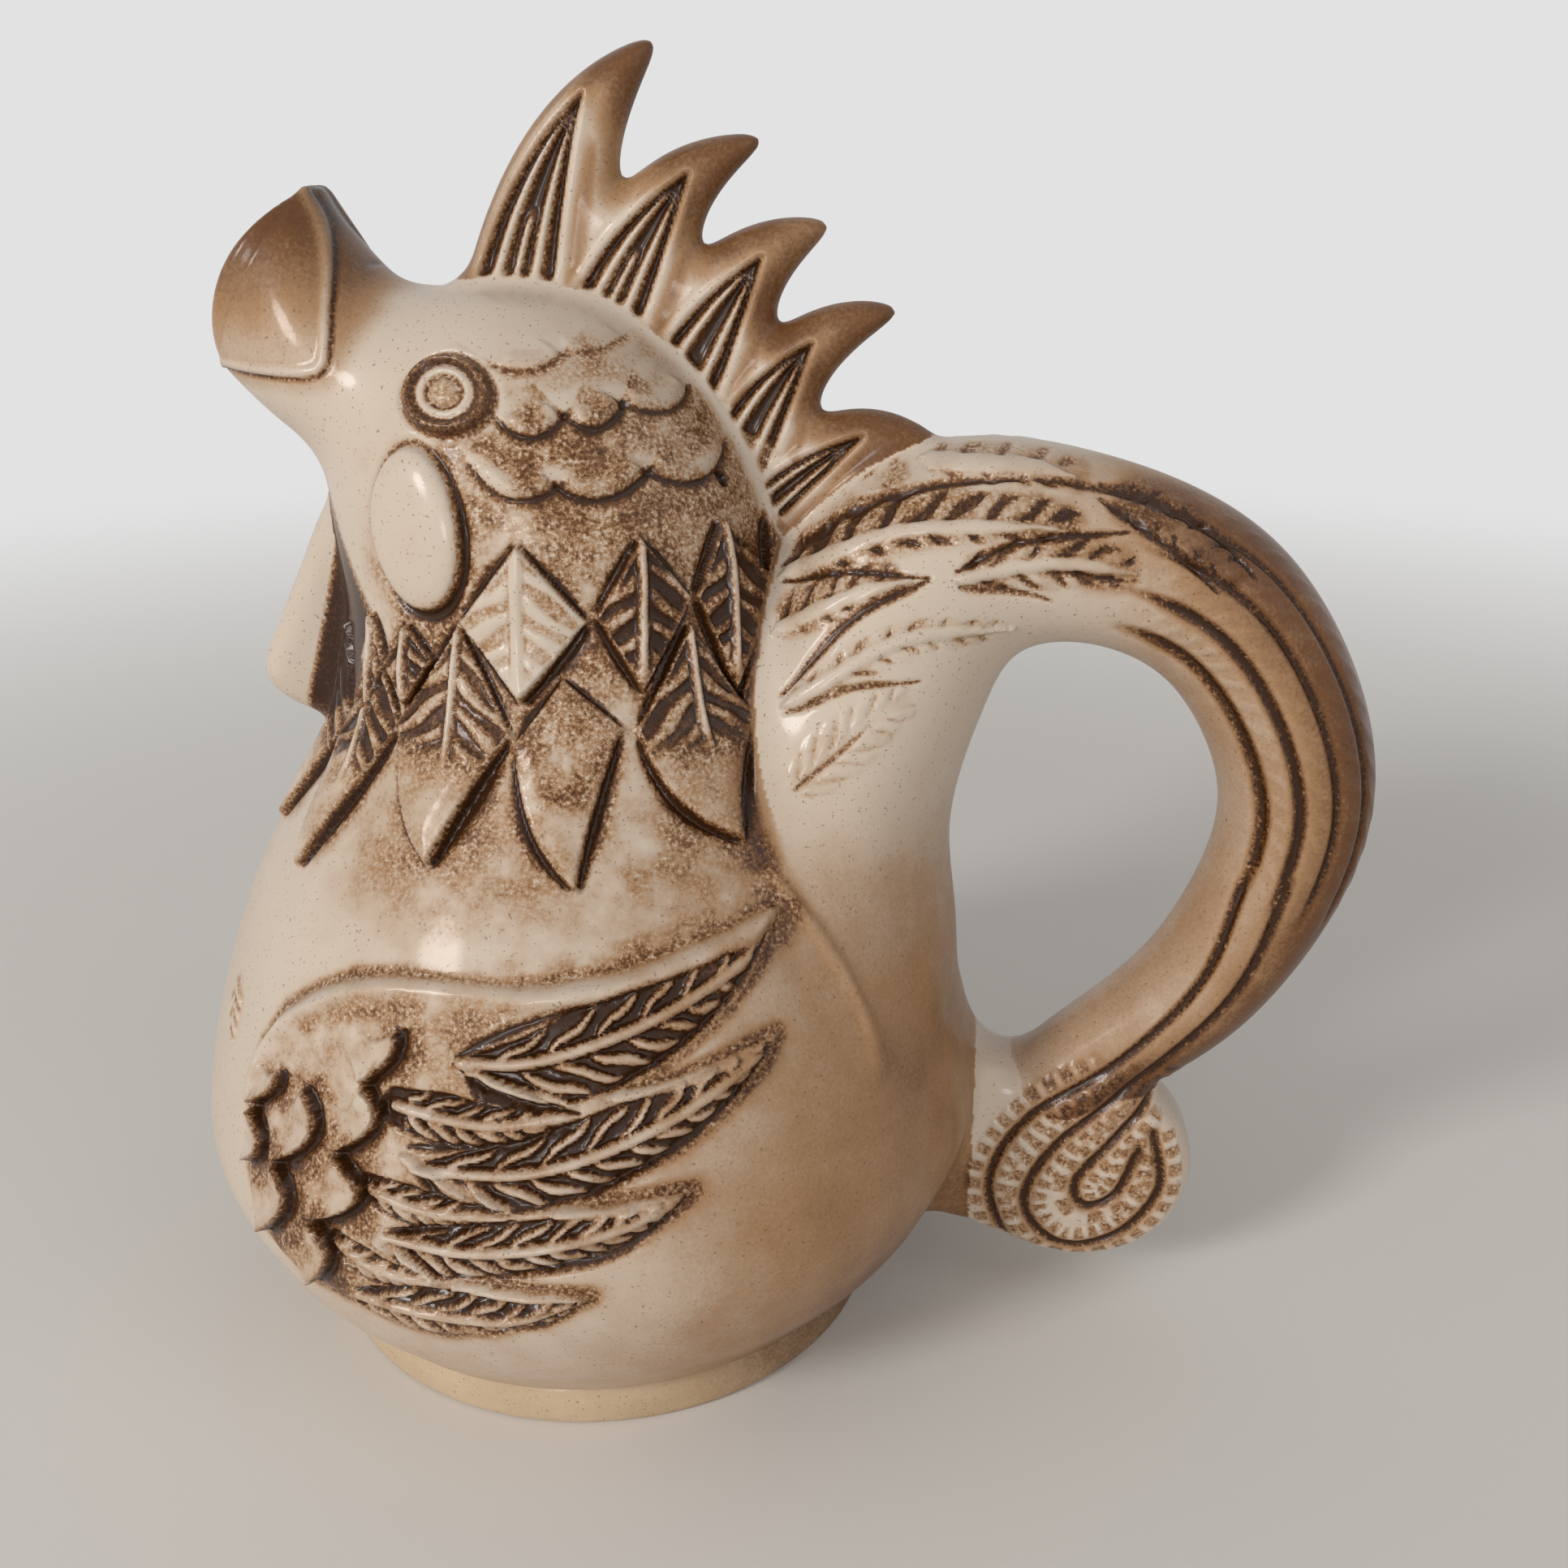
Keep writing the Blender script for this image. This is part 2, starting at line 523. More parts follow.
# Relief seen from the side: (across, height)
# Each comb panel: apex, left lean and foot, right lean and foot, whether it has a middle ridge
PANELS = [
    ((4.4, 210.4), (-8.5, 199.5), (-14.2, 181), (1.2, 199), (-1.4, 181.4), True),
    ((20.4, 199.2), (9.0, 192.5), (2.4, 181), (17.2, 189.5), (12.2, 176.8), True),
    ((31.6, 187.2), (21.4, 181), (15.6, 172.4), (28.6, 177.6), (24.4, 167), False),
    ((39.4, 174.4), (30.0, 169.6), (26, 162.6), (36.6, 166.2), (32.6, 156), False),
    ((47.6, 160.2), (37.6, 157.4), (30.8, 151.4), (42.4, 154.6), (35.4, 147.8), False),
]
# Shafts of the tail's plumes
PLUME_RIDGES = [
    [(35.1, 138.8), (53.2, 147.5), (71.7, 148.7), (79.8, 148.1)], [(62.8, 141), (78.2, 143.3), (90.7, 141.6)],
    [(37, 121.4), (55.1, 132.1), (72.6, 132.4)], [(34.9, 131.4), (47.3, 138.3), (56, 141)],
    [(57, 157.3), (72.8, 156.9), (80.9, 155.2)],
]
# Dark cuts beside them: path, half-width, darkness
PLUME_CUTS = [
    ([(35, 140.1), (46.6, 149.6), (60.4, 154.4), (74, 155.3)], 0.65, 1.0),
    ([(74, 155.3), (81.5, 154.4), (90.4, 152.5)], 0.5, 0.7),
    ([(35.5, 138.3), (47, 141.6), (59.7, 141.3)], 0.6, 0.9),
    ([(59.7, 141.3), (47.4, 135), (36.2, 122.4)], 0.75, 1.0),
    ([(37.1, 120.4), (47.9, 125.1), (59, 125.7)], 0.6, 0.6),
    ([(62.8, 141.9), (73.1, 146.4), (90.3, 147.9)], 0.65, 0.95),
    ([(78, 142), (90, 140.2)], 0.5, 0.8),
    ([(63.5, 139.8), (73.5, 138.5), (78.7, 136.8)], 0.6, 0.6),
    ([(84.4, 154.6), (94.8, 151.2), (103.8, 146.3), (110, 140)], 0.8, 0.8),
    ([(84.4, 152.8), (91.8, 148.1), (97.8, 143.9), (104, 138.2)], 0.7, 0.7),
    ([(39, 109.3), (48.2, 117.1), (50.9, 119.9)], 0.4, 0.45),
]
# Barbs: shaft, reach on its left and right, gap, relief, darkness
PLUME_BARBS = [
    ([(39, 109.3), (51, 120), (58, 124)], (4.5, 4.5), 3.6, 0.9, 0.2),
    ([(37, 121.4), (55.1, 132.1), (72.6, 132.4)], (2.5, 3.0), 4.2, 0.7, 0.45),
    ([(34.9, 131.4), (47.3, 138.3), (56, 141)], (4.5, 2.0), 4.2, 0.9, 0.85),
    ([(35.1, 138.8), (53.2, 147.5), (71.7, 148.7), (84, 148)], (5.5, 2.4), 5.4, 1.0, 1.0),
    ([(36, 143.5), (46, 151.5), (56, 157)], (5.5, 1.5), 4.8, 1.0, 1.0),
    ([(62.8, 141), (78.2, 143.3), (92, 141.4)], (4.5, 4.0), 4.8, 1.0, 0.9),
    ([(57, 157.3), (72.8, 156.9), (84, 154.6)], (3.0, 2.4), 5.0, 0.8, 0.5),
    ([(86, 153.5), (97, 148.2), (108, 139.6)], (3.2, 3.2), 4.0, 1.0, 0.9),
]
CURL_LINES = [
    [(113.5, 91), (107.7, 69.9), (94.6, 52.3), (80.3, 40.8), (73.4, 26), (77.9, 10)],
    [(120.5, 91), (113.5, 68.1), (98.7, 48.8), (85.3, 34.9), (80, 22.5), (86.5, 13.6), (97, 15.4),
     (104.2, 26), (102.5, 37.5)],
    [(104, 47), (96, 37), (89.2, 27.4), (91, 22.2), (96.5, 24.6), (100, 34)],
]
BEAK_LIP = [(-40.5, 199), (-37.2, 193.4), (-35.4, 189.3), (-34.1, 184.6), (-33.4, 179.3), (-33.1, 173.9),
            (-34, 171.2), (-36.8, 170), (-44.5, 169.9), (-55, 170)]
NOSTRIL = [(-30.6, 186.1), (-27.4, 186.6)]
HANDLE_LENGTH = 290
# Grooves along the handle: turn from its outer side, half-width, darkness
HANDLE_GROOVES = [(42, 0.7, 0.4), (70, 0.7, 0.7), (98, 0.85, 1.0), (126, 1.2, 0.8)]

# Heights and depths of the relief
WING_LIFT = 1.5
CREST_LIFT = 1.3
FEATHER_BED = 1.0
FEATHER_LIFT = 0.7
COVERT_LIFT = 1.9
COVERT_CUT = 0.9
BARB_BED = 0.8
CLAW_LIFT = 0.6
CHEEK_LIFT = 0.8
CHEEK_CUT = 0.6
LOBE_LIFT = 1.9
LOBE_CUT = 0.9
VENT_DEPTH = 1.6
RUN_LIFT = 0.8
PANEL_DEPTH = 1.4
PANEL_LINE = 1.7
GROOVE_DEPTH = 0.85
CURL_CUT = 0.9

# The vessel's skin and the length along it
SKIN = PROFILE[len(FOOT) - 1:]
ARC = np.concatenate([[0], np.cumsum(np.hypot(*np.diff(SKIN, axis=0).T))])


def unroll(angle, level, middle):
    """Millimetres across and up the skin from the middle"""
    radius = np.interp(middle[1], SKIN[:, 1], SKIN[:, 0]) * narrowing(middle[1])
    up = np.interp(level, SKIN[:, 1], ARC) - np.interp(middle[1], SKIN[:, 1], ARC)
    return np.radians(angle - middle[0]) * radius, up


def follow(u, v, path):
    """Length along a path, distance from it and side of it (left is 1), and the path's whole length"""
    nearest = np.full(u.shape, np.inf)
    along = np.zeros(u.shape)
    side = np.zeros(u.shape)
    run = 0.0
    for (au, av), (bu, bv) in zip(path, path[1:]):
        eu = bu - au
        ev = bv - av
        span = math.hypot(eu, ev)
        share = np.clip(((u - au) * eu + (v - av) * ev) / (span * span), 0, 1)
        away = np.hypot(u - au - share * eu, v - av - share * ev)
        closer = away < nearest
        nearest = np.where(closer, away, nearest)
        along = np.where(closer, run + share * span, along)
        side = np.where(closer, np.sign(eu * (v - av) - ev * (u - au)), side)
        run += span
    return along, nearest, side, run


class Coat:
    """The relief and the glaze at each point of the skin"""

    def __init__(self, points, normals, form, forms, outside):
        self.x, y, self.z = points.T
        self.y = np.abs(y)
        self.flank = np.abs(normals[:, 1])
        self.form = form
        self.forms = forms
        self.shell = outside & (form == "vessel")
        self.outside = outside
        _, self.angle = upright(self.x, self.y, self.z)
        self.height = np.zeros(len(points))
        self.pool = np.zeros(len(points))
        self.spray = np.zeros(len(points))
        self.wash = np.zeros(len(points))
        self.owner = np.full(len(points), "", "<U24")

    def near(self, marks, reach):
        """Points of the vessel near some marks, on a flat map of them, and the marks there"""
        marks = np.array(marks, float)
        middle = 0.5 * (marks.min(axis=0) + marks.max(axis=0))
        radius = np.interp(marks[:, 1].max(), SKIN[:, 1], SKIN[:, 0]) * NECK_NARROWING
        swing = np.degrees(reach / radius)
        pick = np.nonzero(
            self.shell & (np.abs(self.z - middle[1]) < np.ptp(marks[:, 1]) / 2 + reach)
            & (np.abs(self.angle - middle[0]) < np.ptp(marks[:, 0]) / 2 + swing)
        )[0]
        u, v = unroll(self.angle[pick], self.z[pick], middle)
        return pick, u, v, np.stack(unroll(marks[:, 0], marks[:, 1], middle), axis=1)

    def trace(self, marks, reach, curve):
        """Points near a line on the vessel, their share of its length, and their distance and side"""
        pick, u, v, path = self.near(marks, reach)
        along, away, side, length = follow(u, v, curve(path))
        return pick, along / length, away, side

    def of_form(self, *names):
        """Points of some forms, with their places in the side view"""
        pick = np.nonzero(self.outside & np.isin(self.form, names))[0]
        return pick, self.x[pick], self.z[pick]

    def lay(self, pick, weight, height, pool):
        """Covers what is there"""
        self.height[pick] += weight * (height - self.height[pick])
        self.pool[pick] += weight * (pool - self.pool[pick])

    def carve(self, pick, height, pool):
        """Adds to what is there"""
        self.height[pick] += height
        self.pool[pick] = np.maximum(self.pool[pick], pool)

    def brush(self, pick, amount):
        """Washes smooth brown where there is less of it"""
        self.wash[pick] = np.maximum(self.wash[pick], amount)

    def raise_line(self, pick, height, share):
        """Lifts a pale line out of what is there"""
        self.height[pick] += height * share
        self.pool[pick] *= 1 - 0.95 * smooth_step(0, 0.6, share)
        self.spray[pick] *= 1 - 0.7 * share

    def tint(self, pick, amount):
        """Sprays brown where there is less of it"""
        self.spray[pick] = np.maximum(self.spray[pick], amount)


def flowing(path):
    """A smooth curve through marks on the vessel"""
    return spline(path, 6)


def leaning(path):
    """A scallop from its start, lean and end"""
    return bend(*path)


def round_top(share):
    """A rounded section: 1 in the middle and 0 from a share of 1 outwards"""
    return np.sqrt(np.clip(1 - share ** 2, 0, 1))


def ends(share, start, finish):
    """1 along a line and 0 at its ends"""
    return smooth_step(0, start, share) * smooth_step(1, 1 - finish, share)


def ridge(coat, pick, place, path, half, height, weight=1.0):
    """A raised pale line with fine ends"""
    along, away, _, length = follow(*place, path)
    size = half * (0.25 + 0.75 * ends(along / length, 0.06, 0.3))
    coat.raise_line(pick, height, weight * round_top(away / size))


def cut(coat, pick, place, path, half, dark, weight=1.0):
    """A dark groove with fine ends"""
    along, away, _, length = follow(*place, path)
    size = half * (0.3 + 0.7 * ends(along / length, 0.15, 0.4))
    groove = weight * hump(away, 0, size) * ends(along / length, 0.02, 0.04)
    coat.carve(pick, -0.9 * half * groove, dark * groove)


def fall(out, size):
    """1 just outside an edge, fading away from it, and 0 within it"""
    return smooth_step(-0.3, 0.2, out) * hump(np.maximum(out, 0), 0, 1.2 * size)


def barbs(place, spine, gap, slant, half):
    """Stripes that leave a shaft. Pairs are for its left and right."""
    along, away, side, length = follow(*place, spine)
    left = side > 0
    pitch = np.where(left, *gap)
    slope = np.where(left, *slant)
    uneven = 0.1 * np.sin(0.83 * along + 2.1 * side)
    step = (along - slope * away) / pitch + 0.3 * side + uneven
    off = (step - np.round(step)) * pitch / np.hypot(1, slope)
    return np.clip(1 - (off / np.where(left, *half)) ** 2, 0, 1), along / length, away, left


def vane_width(share, left, reach, vane):
    """How far a vane reaches at a share of its shaft"""
    above, below = (np.interp(share, *side) for side in vane)
    return np.where(left, above * reach[0], below * reach[1])


def wing_feather(coat, marks, reach, vane, gap, ground):
    """A dark bed with a pale shaft, thin barbs above it and plump ones below"""
    pick, u, v, path = coat.near(marks, max(reach) + 6)
    stripe, share, away, left = barbs((u, v), flowing(path), (1.3 * gap, gap), (2.0, 1.45), (0.62, 0.92))
    width = vane_width(share, left, reach, vane)
    inside = smooth_step(width + 0.5, width - 0.3, away)
    grain = stripe - ((away - 0.56 * width) / np.maximum(0.42 * width, 0.5)) ** 2
    grain = np.sqrt(np.clip(grain, 0, 1)) * smooth_step(0.02, 0.1, share)
    raised = np.maximum(round_top(away) * smooth_step(1.0, 0.95, share), 0.85 * grain)
    fade = 1 - 0.4 * smooth_step(0.45, 1.0, share)
    bed = FEATHER_BED * fade
    dark = fade * (1 - smooth_step(0.05, 0.6, raised))
    coat.lay(pick, inside, ground[pick] - bed + (bed + FEATHER_LIFT) * raised, dark)
    coat.spray[pick] *= 1 - 0.6 * inside * raised
    coat.tint(pick, 0.42 * smooth_step(width + 1.8, width - 0.6, away) * (1 - 0.7 * inside * raised))


def wing_plate(coat):
    """The wing's raised ground and the rounded crest along its top"""
    pick, u, v, ring = coat.near(WING_OUTLINE, 14)
    inward = -outline_distance(u, v, ring)
    coat.owner[pick[inward > -1.6]] = "wing"
    coat.height[pick] += WING_LIFT * smooth_step(-0.6, 2.8, inward)
    coat.carve(pick, -0.25 * hump(inward, -1.2, 1.0), 0.36 * hump(inward, -0.9, 1.1))
    coat.tint(pick, 0.26 * smooth_step(-5.0, 2.0, inward))
    pick, share, away, side = coat.trace(WING_CREST, 16, flowing)
    above = away * side
    crest = hump(above, -0.8, 1.6)
    coat.height[pick] += CREST_LIFT * hump(above, -0.9, 1.6)
    coat.pool[pick] *= 1 - 0.9 * crest
    coat.tint(pick, 0.3 * hump(above, 3.2, 2.6) * smooth_step(0.35, 0.7, share))
    coat.tint(pick, 0.36 * hump(above, -4.5, 2.6))
    coat.spray[pick] *= 1 - 0.7 * crest


def wing_covert(coat, marks):
    """A plump scale with a dark groove behind its edge"""
    pick, share, away, side = coat.trace(marks, 12, leaning)
    behind = away * side
    whole = ends(share, 0.08, 0.08)
    lobe = np.exp(np.minimum(behind, 0) / 3.2) * smooth_step(0.5, -0.3, behind)
    groove = fall(behind, 0.6 + 0.9 * whole) * (0.4 + 0.6 * whole)
    coat.carve(pick, COVERT_LIFT * whole * lobe - COVERT_CUT * groove, 1.2 * groove)
    coat.pool[pick] *= 1 - 0.8 * whole * hump(behind, -1.6, 1.3)
    coat.spray[pick] *= 1 - 0.6 * whole * hump(behind, -1.8, 1.5)
    coat.tint(pick, 0.5 * whole * hump(behind, 3.4, 2.4))


def dress_wing(coat):
    wing_plate(coat)
    ground = coat.height.copy()
    for marks, reach, vane, gap in WING_FEATHERS:
        wing_feather(coat, marks, reach, vane, gap, ground)
    for draw, lines, half, strength in ((cut, WING_CUTS, 0.8, 0.95), (ridge, WING_RIDGES, 0.9, 1.0)):
        for marks in lines:
            pick, u, v, path = coat.near(marks, 6)
            draw(coat, pick, (u, v), flowing(path), half, strength)
    for marks in COVERTS:
        wing_covert(coat, marks)


def edge_cut(coat, pick, place, path, outward, size):
    """A dark cut outside an edge: sharp beside it, fading into brown dust, with fine ends"""
    along, away, side, length = follow(*place, path)
    share = along / length
    out = outward * away * side
    broad = size * (0.3 + 0.7 * np.sin(np.pi * share))
    cut_share = fall(out, broad) * ends(share, 0.1, 0.06)
    coat.carve(pick, -0.5 * (0.6 + size) * cut_share, 1.15 * cut_share)
    coat.tint(pick, 0.62 * fall(out, 2.2 * size) * ends(share, 0.3, 0.3))


def hackle(coat, corners, claw, strength, dust, cuts, row):
    """A pointed plate with a shaft and barbs, and dark cuts round it"""
    pick, u, v, marks = coat.near(corners, 9)
    apex, left, right, tip = marks
    low_left = bend(left, left + (tip - left) * (0.5 - 0.35 * claw, 0.5 + 0.1 * claw), tip)
    low_right = bend(right, right + (tip - right) * (0.5 + 0.3 * claw, 0.5 - 0.05 * claw), tip)
    inward = -outline_distance(u, v, np.vstack([apex[None], low_left, low_right[::-1]]))
    inside = smooth_step(-0.3, 0.3, inward)
    spine = bend(apex, 0.55 * left + 0.45 * right, tip)
    gap = (BARB_GAP, BARB_GAP)
    stripe, share, away, _ = barbs((u, v), spine, gap, (0.75, 0.75), (0.95, 0.95))
    reach = 0.95 - 0.35 * claw
    zone = strength * ends(share / reach, 0.1, 0.25) * smooth_step(0.5, 0.9, away)
    zone = zone * smooth_step(0.2, 0.8, inward)
    bed = zone * (1 - np.sqrt(stripe) * smooth_step(0.7, 1.4, away))
    shaft = round_top(away / 0.55) * smooth_step(reach + 0.1, reach - 0.2, share)
    lift = 0.5 * smooth_step(0, 3.5, inward) + CLAW_LIFT * claw * smooth_step(0.3, 0.9, share)
    height = HACKLE_LIFT[row] + lift + 0.45 * strength * shaft - BARB_BED * bed
    coat.lay(pick, inside, height, 0.8 * bed)
    coat.owner[pick[inside > 0.3]] = "hackle_" + row
    thin = 1 - 0.5 * claw * smooth_step(0.5, 0.75, share)
    coat.spray[pick] += inside * (dust * thin * (1 - 0.75 * strength * shaft) - coat.spray[pick])
    place = (u, v)
    edge_cut(coat, pick, place, np.array([left, apex]), 1, 1.0)
    edge_cut(coat, pick, place, np.array([apex, right]), 1, 0.7)
    edge_cut(coat, pick, place, low_left, -1, cuts[0])
    edge_cut(coat, pick, place, low_right, 1, cuts[1])


def dress_neck(coat):
    neck = np.nonzero(coat.shell & (coat.z > 80))[0]
    sides = smooth_step(35, 70, coat.angle[neck])
    coat.tint(neck, 0.62 * hump(coat.z[neck], 136, 17) * sides)
    coat.tint(neck, 0.4 * hump(coat.z[neck], 158, 13) * smooth_step(84, 100, coat.angle[neck]))
    coat.tint(neck, 0.3 * hump(coat.z[neck], 104, 10) * sides)
    for *corners, claw, strength, dust, cuts, row in HACKLES:
        hackle(coat, corners, claw, strength, dust, cuts, row)


def cheek(coat, marks, strength):
    """A scallop of the cheek with a dark line under it"""
    pick, share, away, side = coat.trace(marks, 12, leaning)
    below = -away * side
    whole = strength * ends(share, 0.1, 0.1)
    groove = strength * fall(below, 0.9)
    lift = CHEEK_LIFT * whole * hump(below, -1.7, 1.5)
    coat.carve(pick, lift - CHEEK_CUT * groove, 1.05 * groove)
    coat.tint(pick, strength * 0.52 * hump(below, 4.2, 2.8))
    coat.spray[pick] *= 1 - 0.6 * strength * hump(below, -1.8, 1.5)


def eye(coat):
    """Two raised rings round a pupil"""
    pick, u, v, _ = coat.near([EYE], 14)
    share = np.hypot(u, v) / EYE_RADIUS
    rings = 1.5 * hump(share, 0.84, 0.15) + 0.9 * hump(share, 0.53, 0.1) + 0.9 * smooth_step(0.4, 0.2, share)
    dark = smooth_step(0.62, 0.7, share) - 0.2 * hump(share, 0.86, 0.06)
    dark = np.maximum(dark, 0.7 * hump(share, 0.4, 0.05))
    dark = np.maximum(dark, 0.34 * smooth_step(0.4, 0.3, share))
    coat.lay(pick, smooth_step(1.1, 1.0, share), 0.2 + rings, dark)
    coat.carve(pick, -0.35 * hump(share, 1.1, 0.08), 0.5 * hump(share, 1.06, 0.06))
    coat.spray[pick] *= smooth_step(1.0, 1.5, share)
    coat.owner[pick[share < 1.12]] = "eye"


def ear_lobe(coat):
    """A pale oval with a dark line round it, heaviest low at the back"""
    pick, u, v, _ = coat.near([LOBE], 26)
    turned_u = u * math.cos(LOBE_TILT) - v * math.sin(LOBE_TILT)
    turned_v = u * math.sin(LOBE_TILT) + v * math.cos(LOBE_TILT)
    share = np.hypot(turned_u / LOBE_HALF[0], turned_v / LOBE_HALF[1])
    dome = LOBE_LIFT * round_top(share ** 2)
    coat.lay(pick, smooth_step(1.05, 0.97, share), dome + 0.2, 0.06)
    coat.spray[pick] *= smooth_step(0.94, 1.08, share)
    facing = (0.8 * turned_u - 0.6 * turned_v) / np.hypot(turned_u, turned_v).clip(0.1)
    low_back = smooth_step(-0.5, 0.6, facing)
    heavy = 0.62 + 0.38 * low_back
    dark = heavy * hump(share, 1.07, 0.035 + 0.06 * low_back)
    coat.carve(pick, -LOBE_CUT * heavy * hump(share, 1.09, 0.07), dark)
    coat.tint(pick, 0.6 * low_back * hump(share, 1.18, 0.2))
    coat.owner[pick[share < 1.04]] = "ear_lobe"


def dress_head(coat):
    for *marks, strength in CHEEKS:
        cheek(coat, marks, strength)
    eye(coat)
    ear_lobe(coat)
    pick, u, v, _ = coat.near([VENT], 5)
    away = np.hypot(u, v)
    coat.carve(pick, -VENT_DEPTH * smooth_step(1.5, 0.7, away), smooth_step(1.8, 0.8, away))


def dress_body(coat):
    pick, u, v, path = coat.near(BREAST_LEAF, 8)
    stripe, share, away, _ = barbs((u, v), path, (3.0, 3.0), (1.0, 1.0), (0.7, 0.7))
    width = 3.0 * np.interp(share, *LONG_VANE[0])
    inside = smooth_step(width + 0.4, width - 0.4, away)
    coat.carve(pick, inside * (0.4 + 0.3 * stripe), 0.3 * inside * (1 - stripe))
    coat.owner[pick[inside > 0.05]] = "breast_leaf"
    pick, share, away, _ = coat.trace(GLAZE_RUN, 8, flowing)
    run = smooth_step(0, 0.3, share) * hump(away, 0, 1.0 + 0.9 * smooth_step(0.8, 1.0, share))
    coat.height[pick] += RUN_LIFT * run
    pick, _, away, _ = coat.trace(CREASE, 8, flowing)
    coat.height[pick] -= 0.3 * hump(away, 0, 2.0)
    coat.brush(pick, 0.42 * hump(away, 0, 2.6))
    body = np.nonzero(coat.outside & (coat.z < 118) & (coat.x < 70))[0]
    rear = smooth_step(85, 150, coat.angle[body]) * smooth_step(118, 62, coat.z[body])
    low = smooth_step(44, 14, coat.z[body])
    coat.brush(body, 0.05 + 0.34 * rear + 0.12 * low)


def comb_panel(coat, pick, place, face, panel):
    """A sunk dark panel with raised lines, and a soft lip and shade beside it"""
    apex, left_lean, left_foot, right_lean, right_foot, middle = panel
    along, left, side, length = follow(*place, bend(apex, left_lean, left_foot))
    left = left * side
    _, right, side, _ = follow(*place, bend(apex, right_lean, right_foot))
    right = -right * side
    share = (left - right) / np.maximum(left + right, 0.4)
    deep = np.minimum(left, right)
    beside = face * (along < length)
    inside = face * smooth_step(-0.35, 0.45, deep) * smooth_step(length + 0.6, length - 0.6, along)
    line = hump(np.abs(share), 0.5, 0.2) * smooth_step(0.3, 0.9, deep)
    if middle:
        line = np.maximum(line, hump(share, 0, 0.13) * smooth_step(0.5, 0.62, along / length))
    coat.lay(pick, inside, -PANEL_DEPTH + PANEL_LINE * line, 1.2 - 1.2 * line)
    coat.wash[pick] *= 1 - inside
    coat.carve(pick, 0.35 * beside * hump(deep, -1.0, 0.8), 0)
    coat.wash[pick] *= 1 - 0.5 * beside * hump(deep, -1.2, 0.9)
    coat.brush(pick, 0.42 * beside * hump(right, -3.4, 1.6) * smooth_step(0, 6, along))


def dress_comb(coat):
    pick, x, z = coat.of_form("comb")
    face = smooth_step(0.5, 0.85, coat.flank[pick])
    edge = -COMB_TABLE.at(x, z)
    coat.brush(pick, 0.1 + 0.3 * smooth_step(5.0, 0.5, edge))
    for panel in PANELS:
        comb_panel(coat, pick, (x, z), face, panel)
    coat.brush(pick, 0.56 * smooth_step(8, 26, x + 0.7 * (z - 190)) * smooth_step(7.0, 2.0, edge))


def plume_barbs(coat, pick, place, face):
    """Brown gaps between the pale barbs of the tail's plumes"""
    for spine, reach, gap, relief, dark in PLUME_BARBS:
        stripe, share, away, left = barbs(place, spline(spine, 8), (gap, gap), (1.1, 1.1), (1.25, 1.25))
        width = np.interp(share, *LONG_VANE[0]) ** 0.5 * np.where(left, *reach)
        whole = face * ends(share, 0.1, 0.08)
        zone = whole * smooth_step(width + 0.5, width - 0.5, away) * smooth_step(0.7, 1.3, away)
        bed = zone * (1 - np.sqrt(stripe))
        coat.carve(pick, relief * (0.25 * zone - 0.65 * bed), 0.72 * dark * bed)
        coat.tint(pick, 0.36 * dark * whole * smooth_step(width + 2.5, width - 1.5, away))


def handle_groove(coat, pick, place, line, half, dark):
    """A groove along the handle, with faint barbs beside it"""
    share, turn, girth, run = place
    away = np.radians(turn - line) * girth
    groove = run * hump(away, 0, half)
    coat.carve(pick, -GROOVE_DEPTH * groove, dark * groove)
    lane = np.radians(turn - line + 14) * girth
    uneven = 1.3 * np.sin(7 * share + line)
    barb = smooth_step(-0.2, 0.8, np.cos(2 * np.pi * (share * HANDLE_LENGTH / 5.6 + lane / 5.0) + uneven))
    lane = run * smooth_step(2.6, 1.2, np.abs(lane))
    coat.carve(pick, 0.12 * lane * barb, 0.04 * lane * (1 - barb))
    coat.brush(pick, 0.46 * dark * run * hump(away, 0, 2.4))


def curl_line(coat, pick, place, line, reach):
    """A dark line of the curl with short dashes beside it"""
    along, away, _, _ = follow(*place, spline(line, 8))
    coat.carve(pick, -CURL_CUT * reach * hump(away, 0, 0.85), 0.95 * reach * hump(away, 0, 0.8))
    coat.brush(pick, 0.3 * reach * hump(away, 0, 2.2))
    dash = smooth_step(-0.1, 0.7, np.cos(2 * np.pi * along / 3.4))
    lane = reach * smooth_step(1.2, 1.7, away) * smooth_step(4.6, 3.6, away) * smooth_step(56, 48, place[1])
    coat.carve(pick, 0.3 * lane * dash, 0.36 * lane * (1 - dash))


def dress_tail(coat):
    pick, x, z = coat.of_form("tail", "curl", "bridge")
    share, _, offset, deep, wide = TAIL_TABLE.at(x, z)
    turn = np.degrees(np.arctan2(coat.y[pick] / wide, offset / deep))
    on_tail = coat.form[pick] == "tail"
    outer = 0.22 + 0.44 * smooth_step(115, 40, turn)
    coat.brush(pick, on_tail * outer * smooth_step(0.34, 0.6, share))
    face = smooth_step(0.08, 0.3, coat.flank[pick])
    plume_barbs(coat, pick, (x, z), face)
    for path, half, dark in PLUME_CUTS:
        cut(coat, pick, (x, z), spline(path, 8), half, dark, face)
    for path in PLUME_RIDGES:
        ridge(coat, pick, (x, z), spline(path, 8), 1.15, 0.7, face)
    run = smooth_step(0.46, 0.53, share) * smooth_step(0.80, 0.75, share) * on_tail * (x > 74)
    for line, half, dark in HANDLE_GROOVES:
        handle_groove(coat, pick, (share, turn, 0.5 * (deep + wide), run), line, half, dark)
    reach = smooth_step(0.35, 0.8, coat.flank[pick]) * smooth_step(92, 87, z)
    for line in CURL_LINES:
        curl_line(coat, pick, (x, z), line, reach)


